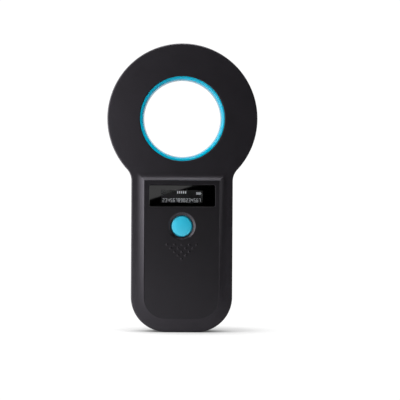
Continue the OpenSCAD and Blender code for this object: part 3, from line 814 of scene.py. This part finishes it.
def make_liner():
    """The ring: a round nose at each face, and a bore that narrows a little to its waist."""
    lean = math.radians(LINER_LEAN)
    crest = FACE - LINER_RECESS
    taper = math.tan(lean) / 2
    room = LINER_OUTER_R - LINER_R - taper * crest
    nose_r = room / (math.cos(lean) - taper * (1 - math.sin(lean)))
    nose = [
        (LINER_OUTER_R - s, crest - nose_r + c) for c, s in quarter(nose_r, 22, 0, 90 - LINER_LEAN)
    ]
    start_r, start_y = nose[-1]
    bore = [(LINER_R + (start_r - LINER_R) * t ** 2, start_y * t) for t in np.linspace(1, 0, 9)[1:]]
    profile = [(r, -y) for r, y in nose + bore] + [(r, y) for r, y in reversed(nose + bore[:-1])]
    profile += [(LINER_OUTER_R, LINER_FLANGE_HALF), (LINER_FLANGE_R, LINER_FLANGE_HALF)]
    profile += [(LINER_FLANGE_R, -LINER_FLANGE_HALF), (LINER_OUTER_R, -LINER_FLANGE_HALF)]
    skin = Skin()
    rows = skin.stack(circles((0, HEAD_Z), RING_STEPS), profile)
    skin.chain(rows + [rows[0]])
    piece = skin.build("ring_liner_skin", [LINER_BLUE], sharp=40)
    fit_piece(piece, "antenna_ring_liner")


# ---- display
WINDOW_DEPTH = 1.19
WINDOW_FACE = 0.03
WINDOW_EDGE = [(-0.36, WINDOW_FACE), (-0.3, WINDOW_FACE), (-0.18, 0.05), (-0.07, 0.11), (0.0, 0.23)]
LIT_Z = 73.5
LIT_W, LIT_H, LIT_CORNER = 22.7, 7.0, 0.25
SIGHT_GAP = 0.008


def make_window():
    """A glossy black plate, and the clear sight in it."""
    skin = Skin()
    rows = skin.stack(window_rect, WINDOW_EDGE + [(0.0, WINDOW_DEPTH)], behind_panel)
    sight = rounded_rect((0, LIT_Z), LIT_W, LIT_H, LIT_CORNER)
    hole = [skin.loop(sight, behind_panel(depth)) for depth in (WINDOW_DEPTH, WINDOW_FACE)]
    skin.chain(rows + hole + [rows[0]])
    plate = skin.build("window_plate", [WINDOW_BLACK])
    fit_piece(plate, "display_window")
    skin = Skin()
    insert = rounded_rect((0, LIT_Z), LIT_W, LIT_H, LIT_CORNER, -SIGHT_GAP)
    skin.solid([skin.loop(insert, behind_panel(depth)) for depth in (WINDOW_FACE, WINDOW_DEPTH)])
    clear = skin.build("window_sight", [WINDOW_CLEAR])
    fit_piece(clear, "display_window")


# Neighbouring marks on the display stay this far apart
MARK_GAP = 0.03
DIGIT_X, DIGIT_Z = -10.5, 70.45
DIGIT_W, DIGIT_H = 0.9, 1.95
DIGIT_PITCH = 1.41
DIGIT_COUNT = 15
DIGIT_STROKE = 0.17
SEGMENTS = ["abcdef", "bc", "abged", "abgcd", "fgbc", "afgcd", "afgedc", "abc", "abcdefg", "abcdfg"]


def digit_bars(value, x, z):
    """Rectangles (x0, z0, x1, z1) of a seven-segment digit whose lower left corner is at (x, z)."""
    top, mid, right = z + DIGIT_H, z + DIGIT_H / 2, x + DIGIT_W
    half, inner = DIGIT_STROKE / 2, DIGIT_STROKE + MARK_GAP
    upper, lower = (mid + MARK_GAP / 2, top - inner), (z + inner, mid - MARK_GAP / 2)
    bars = {
        "a": (x, top - DIGIT_STROKE, right, top),
        "g": (x + inner, mid - half, right - inner, mid + half),
        "d": (x, z, right, z + DIGIT_STROKE),
    }
    for names, left in (("fe", x), ("bc", right - DIGIT_STROKE)):
        for name, (start, stop) in zip(names, (upper, lower)):
            bars[name] = (left, start, left + DIGIT_STROKE, stop)
    return [bars[k] for k in SEGMENTS[value]]


def battery_bars():
    """Rectangles of the battery sign: its frame, its tip and three charge marks."""
    x, z, w, h, wall = 7.7, 74.55, 2.45, 1.25, 0.22
    low, high = z + wall + MARK_GAP, z + h - wall - MARK_GAP
    bars = [(x, z, x + w, z + wall), (x, z + h - wall, x + w, z + h)]
    bars += [(x, low, x + wall, high), (x + w - wall, low, x + w, high)]
    bars += [(x + w + MARK_GAP, z + 0.4, x + w + 0.25, z + h - 0.4)]
    for mark in (x + 0.4, x + 1.0, x + 1.6):
        bars.append((mark, z + 0.38, mark + 0.42, z + h - 0.38))
    return bars


def block_bars():
    """Rectangles of the row of five blocks."""
    x, z, w, h, pitch = -2.6, 75.05, 0.48, 1.4, 1.08
    return [(x + k * pitch, z, x + w + k * pitch, z + h) for k in range(5)]


def make_display():
    """The display module, with the marks that are lit on it."""
    low, high = GLASS_LOW, GLASS_HIGH
    middle = (0, (low.z + high.z) / 2)
    width, height = high.x - low.x, high.z - low.z
    skin = Skin()
    body = [(-0.15, low.y), (0.0, low.y + 0.15), (0.0, high.y - 0.1), (-0.1, high.y)]
    rows = [skin.loop(rounded_rect(middle, width, height, 0.3, grow), y) for grow, y in body]
    active = skin.loop(rounded_rect((0, LIT_Z), LIT_W - 0.1, LIT_H - 0.1, 0.2), low.y)
    skin.chain([active] + rows, slot=1)
    skin.cap(active, slot=0)
    skin.cap(rows[-1], slot=1)
    bars = []
    for i in range(DIGIT_COUNT):
        bars += digit_bars((2 + i % 9) % 10, DIGIT_X + i * DIGIT_PITCH, DIGIT_Z)
    for bar in bars + battery_bars() + block_bars():
        skin.solid([skin.loop(oblong(*bar), low.y - gap) for gap in (0.03, 0.005)], slot=2)
    piece = skin.build("display_module", [SCREEN_GREY, SCREEN_EDGE, PIXEL_WHITE])
    fit_piece(piece, "display_glass")


# ---- button
CAP_EDGE = 0.6
CAP_CROWN = 0.5
CAP_LEDGE = 1.05
FLANGE_GAP = 0.12
FLANGE_T = 0.8
FLANGE_EASE = 0.1
STEM_R = 2.0


def make_button():
    """The push button: a slightly domed face, a flange behind the panel and a short stem."""
    face, tip = CAP_LOW.y, CAP_HIGH.y
    flange_r = CAP_HIGH.x
    r = flange_r - CAP_LEDGE
    start = math.degrees(math.atan(2 * CAP_CROWN / (r - CAP_EDGE)))
    rim_r = r - CAP_EDGE + CAP_EDGE * math.sin(math.radians(start))
    turn_y = face + CAP_CROWN + CAP_EDGE * math.cos(math.radians(start))
    flange_y = face + PANEL_WALL + FLANGE_GAP
    back_y = flange_y + FLANGE_T
    profile = [(rim_r * t, face + CAP_CROWN * t ** 2) for t in np.linspace(0.01, 0.98, 20)]
    profile += [(r - CAP_EDGE + s, turn_y - c) for c, s in quarter(CAP_EDGE, 10, start)]
    profile += [(r, flange_y - 0.15), (r + 0.15, flange_y)]
    profile += [(flange_r - FLANGE_EASE, flange_y), (flange_r, flange_y + FLANGE_EASE)]
    profile += [(flange_r, back_y - FLANGE_EASE), (flange_r - FLANGE_EASE, back_y)]
    profile += [(STEM_R + 0.25, back_y), (STEM_R, back_y + 0.25)]
    profile += [(STEM_R, tip - 0.3), (STEM_R - 0.3, tip), (0.05, tip)]
    skin = Skin()
    skin.solid(skin.stack(circles((0, BUTTON_Z), BUTTON_STEPS), profile))
    piece = skin.build("button_cap_skin", [BUTTON_BLUE], sharp=38)
    fit_piece(piece, "button_cap", "button")


DOME_T = 0.09
DOME_RINGS = 14
DOME_POLE = 0.02
DOME_LIP = 0.97


def make_dome():
    """The snap dome under the plunger, in its resting shape; the real dome flattens as the button
    goes down.
    """
    low, high = box_mm("switch_dome")
    seat, r = high.y, high.x
    h = seat - low.y
    curve = (r * r + h * h) / (2 * h)
    skin = Skin()

    def ring(share, thick):
        y = seat - h + curve - math.sqrt(curve ** 2 - (r * share) ** 2) + thick
        return skin.loop(circles((0, BUTTON_Z), DOME_STEPS)(r * share), min(y, seat))

    rows = [ring(share, 0) for share in np.linspace(DOME_POLE, 1, DOME_RINGS + 1)]
    rows += [ring(share, DOME_T) for share in np.linspace(DOME_LIP, DOME_POLE, DOME_RINGS + 1)]
    skin.solid(rows)
    piece = skin.build("switch_dome_skin", [BRIGHT_STEEL])
    fit_piece(piece, "switch_dome")
    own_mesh(piece)


# ---- screws, label, socket
SCREW_HEAD_R = 2.1
SCREW_HEAD_T = 1.6
SCREW_EDGE = 0.35
SCREW_SPACING = 0.8
SHANK_R = 1.05
SHANK_END = -6.0
# Cross recess: reach and half width of its arms, and its depth, at each level
CROSS = [(1.3, 0.36, 0.0), (1.2, 0.3, 0.12), (0.75, 0.2, 0.9)]


def cross(spot, a, h):
    """A cross-shaped outline, with arms of reach a and half width h."""
    points = [(a, -h), (a, h), (h, h), (h, a), (-h, a), (-h, h)]
    points += [(-a, h), (-a, -h), (-h, -h), (-h, -a), (h, -a), (h, -h)]
    return np.array(points) + np.array(spot)


def make_screws():
    """The case screws, with a cross recess in each head."""
    top = SCREW_SEAT + SCREW_HEAD_T
    skin = Skin()
    for spot in CASE_SCREWS:
        bend = reversed(quarter(SCREW_EDGE, 6))
        profile = [(SCREW_HEAD_R - SCREW_EDGE + c, top - SCREW_EDGE + s) for c, s in bend]
        profile += [(SCREW_HEAD_R, SCREW_SEAT + 0.1), (SCREW_HEAD_R - 0.1, SCREW_SEAT)]
        profile += [(SHANK_R, SCREW_SEAT), (SHANK_R, SHANK_END + 0.6), (0.25, SHANK_END)]
        rows = skin.stack(circles(spot, SCREW_STEPS), profile)
        skin.chain(rows)
        skin.cap(rows[-1])
        recess = [skin.loop(cross(spot, a, h), top - depth) for a, h, depth in CROSS]
        skin.fill(skin.chain(recess), [], top - CROSS[-1][2], 5.0)
        skin.fill(rows[0], [recess[0]], top, SCREW_SPACING)
    piece = skin.build("case_screws_skin", [SCREW_STEEL])
    fit_piece(piece, "case_screws")


def make_label():
    """The blank label in the palm swell, with a thin printed frame."""
    skin = Skin()
    edge = [(0.0, LABEL_SINK - 0.01), (0.0, LABEL_DEPTH + 0.02), (-0.02, LABEL_DEPTH)]
    rows = skin.stack(label_rect, edge, behind_rear)
    skin.chain(rows)
    skin.fill(rows[0], [], behind_rear(LABEL_SINK - 0.01), LABEL_BED_SPACING)
    face = behind_rear(LABEL_DEPTH)
    outer, inner = [skin.loop(label_rect(grow), face) for grow in (-0.9, -1.15)]
    skin.fill(rows[-1], [outer], face, LABEL_SPACING)
    skin.bridge(outer, inner, 1)
    skin.fill(inner, [], face, LABEL_SPACING)
    piece = skin.build("rear_label_skin", [LABEL_FILM, LABEL_INK])
    fit_piece(piece, "rear_label")


SOCKET_CORNER = 1.2
SOCKET_WALL = 0.3
SOCKET_LIP = 0.1
PLATE_HALF_W, PLATE_HALF_T = 3.2, 0.35
PLATE_EDGE = 0.12
CONTACTS = 12
CONTACT_PITCH = 0.5
CONTACT_HALF = 0.13


def make_socket():
    """The charging socket: a drawn shell, and a plate with contacts on both sides."""
    low, high = SOCKET_LOW, SOCKET_HIGH
    width, height = high.x - low.x, high.y - low.y
    skin = Skin()

    def ring(grow, z):
        return skin.section(rounded_rect((0, SOCKET_Y), width, height, SOCKET_CORNER, grow), z)

    mouth = [ring(0, high.z), ring(0, low.z + SOCKET_LIP), ring(-SOCKET_LIP, low.z)]
    bore = [ring(SOCKET_LIP - SOCKET_WALL, low.z), ring(-SOCKET_WALL, low.z + SOCKET_LIP)]
    skin.solid(mouth + bore + [ring(-SOCKET_WALL, high.z - 1.0)])
    start, end = low.z + 1.0, high.z - 1.02
    block = []
    for inset, z in [(PLATE_EDGE, start), (0.0, start + PLATE_EDGE), (0.0, end)]:
        w, t = PLATE_HALF_W - inset, PLATE_HALF_T - inset
        block.append(skin.section(oblong(-w, SOCKET_Y - t, w, SOCKET_Y + t), z))
    skin.solid(block, slot=1)
    for side in (-1, 1):
        y0, y1 = [SOCKET_Y + side * (PLATE_HALF_T + up) for up in (0.004, 0.03)]
        for k in range(CONTACTS):
            x = (k - (CONTACTS - 1) / 2) * CONTACT_PITCH
            contact = oblong(x - CONTACT_HALF, y0, x + CONTACT_HALF, y1)
            skin.solid([skin.section(contact, z) for z in (start + 0.35, end - 0.1)], slot=2)
    piece = skin.build("charging_socket_skin", [BRIGHT_STEEL, CHIP_BLACK, GOLD])
    fit_piece(piece, "charging_socket")


# ---- inner parts, kept as CAD nodes
# Each finish, and its nodes with the width of their broken edges
INNER_PARTS = [
    (IVORY, {"coil_bobbin": 0.15, "coil_plug": 0.1, "coil_socket": 0.1, "switch_plunger": 0.05,
             "battery_plug": 0.1, "battery_socket": 0.1}),
    (CHIP_BLACK, {"switch_base": 0.08, "buzzer": 0.12, "controller_chip": 0.05,
                  "reader_chip": 0.05, "charger_chip": 0.04}),
    (BRIGHT_STEEL, {"switch_cover": 0.03, "crystal": 0.08}),
    (SCREW_STEEL, {"board_screws": 0.05}),
    (TAPE_BLACK, {"window_tape": 0}),
    (COPPER, {"antenna_coil": 0}),
    (AMBER_TAPE, {"coil_overwrap": 0}),
    (RED_WIRE, {"coil_leads": 0, "battery_leads": 0}),
    (BOARD_GREEN, {"main_board": 0.04}),
    (CARRIER_GREY, {"display_carrier": 0.08}),
    (FLEX_AMBER, {"display_flex": 0}),
    (CELL_FOIL, {"battery_cell": 0.1}),
    (FOAM_WHITE, {"battery_tape": 0.08}),
    (BOARD_BLUE, {"radio_module": 0.06}),
    (FERRITE, {"power_inductor": 0.12}),
    (CERAMIC, {"tuning_capacitors": 0.06, "chip_capacitors": 0.04}),
]
BEVEL_SEGMENTS = 2
BEVEL_ANGLE = 40


def dress(node, material, bevel):
    """Gives a CAD node its material, and breaks its edges with modifiers."""
    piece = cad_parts[node]
    piece.data.materials.clear()
    piece.data.materials.append(material)
    if bevel:
        join = piece.modifiers.new("join", "WELD")
        join.merge_threshold = 0.002 * MM
        round_off = piece.modifiers.new("edges", "BEVEL")
        round_off.width = bevel * MM
        round_off.segments = BEVEL_SEGMENTS
        round_off.limit_method = "ANGLE"
        round_off.angle_limit = math.radians(BEVEL_ANGLE)
        even = piece.modifiers.new("even", "WEIGHTED_NORMAL")
        even.keep_sharp = False


# ---- stage
# Camera: mm and degrees, apart from its clipping distances in metres
FRAME_WIDTH = 216.7
LENS = 200.0
SENSOR = 36.0
CLIP = 0.01, 50
AIM_X = 9.75
AIM_Z = 71.63
LEAN = 0.32
CAMERA_X = -8.0
CAMERA_Z = 88.0

# Floor and surround, in metres
WHITE = 1.05
FLOOR_SIZE = 40
FLOOR_DROP = 0.0002
# The floor's painted contact shadow: reach of its ambient occlusion, its glow, and the albedo of
# the real diffuse under it
SHADOW_REACH = 0.045
SHADOW_GLOW = 0.88
SHADOW_SOFT = 0.3
FADE_START, FADE_STOP = 0.038, 0.065
TABLE_START, TABLE_STOP = -0.7, -0.35
TABLE_DARK, TABLE_WHITE = 0.01, 0.86
GLOW_START, GLOW_STOP = 0.2, 0.6
GLOW_STRENGTH = 0.6
SURROUND_LIGHT, SURROUND_EDGE = (0.01, 0.9), (0.55, 0.95)

# Ends of the glare card's slanting edge, as the window shows it, in mm; the rest in metres
GLARE_LEFT = (-45, 62.3)
GLARE_RIGHT = (20, 83.7)
GLARE_TOP = 0.12
GLARE_BACK = 0.02
GLARE_STRENGTH = 1.18
LIGHT_TARGET = (0, 0, 0.08)


def bare_material(name):
    """A material with only an output. Returns the material, its nodes and its surface input."""
    m = bpy.data.materials.new(name)
    m.use_nodes = True
    m.node_tree.nodes.clear()
    return m, m.node_tree, add_node(m.node_tree, "OutputMaterial").inputs["Surface"]


def add_light(nt, a, b):
    """The sum of two shader outputs."""
    both = add_node(nt, "AddShader")
    nt.links.new(a, both.inputs[0])
    nt.links.new(b, both.inputs[1])
    return both.outputs["Shader"]


def choose(nt, factor, a, b):
    """A mix of two shader outputs, which is all of b where the factor is 1."""
    mix = add_node(nt, "MixShader")
    nt.links.new(factor, mix.inputs["Fac"])
    nt.links.new(a, mix.inputs[1])
    nt.links.new(b, mix.inputs[2])
    return mix.outputs["Shader"]


def make_floor():
    """A white floor that fades into the white surround; beside the part its contact shadow is
    painted from ambient occlusion, over some real lamp light.
    """
    bpy.ops.mesh.primitive_plane_add(size=FLOOR_SIZE, location=(0, 0, -FLOOR_DROP))
    floor = bpy.context.object
    floor.name = "floor"
    m, nt, surface = bare_material("floor_white")
    place = add_node(nt, "NewGeometry")
    # What the camera sees: painted shadow, a glow that ambient occlusion dims beside the part, and
    # some of the real light there
    near = add_node(nt, "AmbientOcclusion", Distance=SHADOW_REACH)
    near.samples = 32
    glow = add_node(nt, "Emission", Strength=SHADOW_GLOW)
    nt.links.new(near.outputs["Color"], glow.inputs["Color"])
    soft = add_node(nt, "BsdfDiffuse", Color=(SHADOW_SOFT, SHADOW_SOFT, SHADOW_SOFT, 1))
    beside = add_light(nt, glow.outputs["Emission"], soft.outputs["BSDF"])
    white = add_node(nt, "Emission", Strength=WHITE)
    length = add_node(nt, "VectorMath")
    length.operation = "LENGTH"
    nt.links.new(place.outputs["Position"], length.inputs[0])
    fade = spread(nt, length.outputs["Value"], 0, 1, FADE_START, FADE_STOP)
    seen = choose(nt, fade, beside, white.outputs["Emission"])
    # What everything else sees: a white table that ends in front of the part, and glows behind it
    depth = add_node(nt, "SeparateXYZ")
    nt.links.new(place.outputs["Position"], depth.inputs["Vector"])
    lit = add_node(nt, "BsdfDiffuse")
    table_end = spread(nt, depth.outputs["Y"], TABLE_DARK, TABLE_WHITE, TABLE_START, TABLE_STOP)
    nt.links.new(table_end, lit.inputs["Color"])
    sheen = add_node(nt, "Emission")
    behind = spread(nt, depth.outputs["Y"], 0, GLOW_STRENGTH, GLOW_START, GLOW_STOP)
    nt.links.new(behind, sheen.inputs["Strength"])
    table = add_light(nt, lit.outputs["BSDF"], sheen.outputs["Emission"])
    camera_ray = add_node(nt, "LightPath").outputs["Is Camera Ray"]
    nt.links.new(choose(nt, camera_ray, table, seen), surface)
    floor.data.materials.append(m)


def make_surround():
    """White behind the part, and dim in front of it for everything that the part reflects."""
    world = bpy.data.worlds.new("surround")
    bpy.context.scene.world = world
    world.use_nodes = True
    nt = world.node_tree
    nt.nodes.clear()
    out = add_node(nt, "OutputWorld")
    seen = add_node(nt, "Background", Color=(1, 1, 1, 1), Strength=WHITE)
    lit = add_node(nt, "Background", Color=(1, 1, 1, 1))
    place = add_node(nt, "TexCoord")
    split = add_node(nt, "SeparateXYZ")
    nt.links.new(place.outputs["Generated"], split.inputs["Vector"])
    behind = spread(nt, split.outputs["Y"], *SURROUND_LIGHT, *SURROUND_EDGE)
    nt.links.new(behind, lit.inputs["Strength"])
    camera_ray = add_node(nt, "LightPath").outputs["Is Camera Ray"]
    view = choose(nt, camera_ray, lit.outputs["Background"], seen.outputs["Background"])
    nt.links.new(view, out.inputs["Surface"])


def softbox(name, azimuth, elevation, distance, width, height, radiance):
    """A rectangular light that faces the part; azimuth 0 is in front of it and 90 at its right."""
    a, e = math.radians(azimuth), math.radians(elevation)
    away = Vector((math.sin(a) * math.cos(e), -math.cos(a) * math.cos(e), math.sin(e)))
    lamp = bpy.data.lights.new(name, "AREA")
    lamp.shape = "RECTANGLE"
    lamp.size, lamp.size_y = width, height
    lamp.energy = radiance * math.pi * width * height
    rig = bpy.data.objects.new(name, lamp)
    rig.location = Vector(LIGHT_TARGET) + away * distance
    rig.rotation_mode = "QUATERNION"
    rig.rotation_quaternion = (-away).to_track_quat("-Z", "Y")
    bpy.context.scene.collection.objects.link(rig)
    rig.visible_camera = False


def mirrored(x, z, camera):
    """The point beside the camera that the display window mirrors at its own (x, z) in mm."""
    at = camera.location / MM
    tilt = 2 * math.atan(PANEL_SLOPE) * (-FACE - at.y)
    return (2 * x - at.x) * MM, (2 * z - at.z - tilt) * MM


def make_glare_card(camera):
    """A grey card beside the camera, whose slanting edge shows in the display window."""
    y = camera.location.y - GLARE_BACK
    left, right = mirrored(*GLARE_LEFT, camera), mirrored(*GLARE_RIGHT, camera)
    corners = [(left[0], y, left[1]), (right[0], y, right[1])]
    corners += [(right[0], y, GLARE_TOP), (left[0], y, GLARE_TOP)]
    mesh = bpy.data.meshes.new("glare_card")
    mesh.from_pydata(corners, [], [(0, 1, 2, 3)])
    card = bpy.data.objects.new("glare_card", mesh)
    m, nt, surface = bare_material("card_grey")
    glow = add_node(nt, "Emission", Strength=GLARE_STRENGTH)
    nt.links.new(glow.outputs["Emission"], surface)
    mesh.materials.append(m)
    bpy.context.scene.collection.objects.link(card)
    card.visible_camera = False


def make_camera():
    """The camera in front of the part, turned a little about its own axis."""
    camera = bpy.data.objects.new("camera", bpy.data.cameras.new("camera"))
    camera.data.lens = LENS
    camera.data.sensor_width = SENSOR
    camera.data.clip_start, camera.data.clip_end = CLIP
    distance = FRAME_WIDTH * LENS / SENSOR
    camera.location = Vector((CAMERA_X, -FACE - distance, CAMERA_Z)) * MM
    away = Vector((AIM_X, -FACE, AIM_Z)) * MM - camera.location
    roll = Quaternion((0, 0, 1), math.radians(LEAN))
    camera.rotation_mode = "QUATERNION"
    camera.rotation_quaternion = away.to_track_quat("-Z", "Y") @ roll
    bpy.context.scene.collection.objects.link(camera)
    bpy.context.scene.camera = camera
    return camera


def make_stage():
    """The floor, the surround, the camera and the lights."""
    make_floor()
    make_surround()
    make_glare_card(make_camera())
    softbox("left_close", -85, 0, 0.085, 0.05, 0.25, 4.28)
    softbox("left_front", -50, 5, 0.22, 0.12, 0.30, 2.61)
    softbox("left_low", -35, -8, 0.11, 0.03, 0.15, 0.91)
    softbox("front_low", -15, -36, 0.125, 0.10, 0.015, 0.75)
    softbox("overhead", 0, 84, 0.16, 0.10, 0.06, 6.13)
    softbox("top", 10, 86, 0.25, 0.30, 0.15, 1.72)
    softbox("right_fill", 85, 10, 0.50, 0.30, 0.40, 1.0)
    bpy.context.scene.view_settings.view_transform = "Standard"


make_front_shell()
make_rear_shell()
make_liner()
make_window()
make_display()
make_button()
make_dome()
make_screws()
make_label()
make_socket()
for look, nodes in INNER_PARTS:
    for node, width in nodes.items():
        dress(node, look, width)
make_stage()
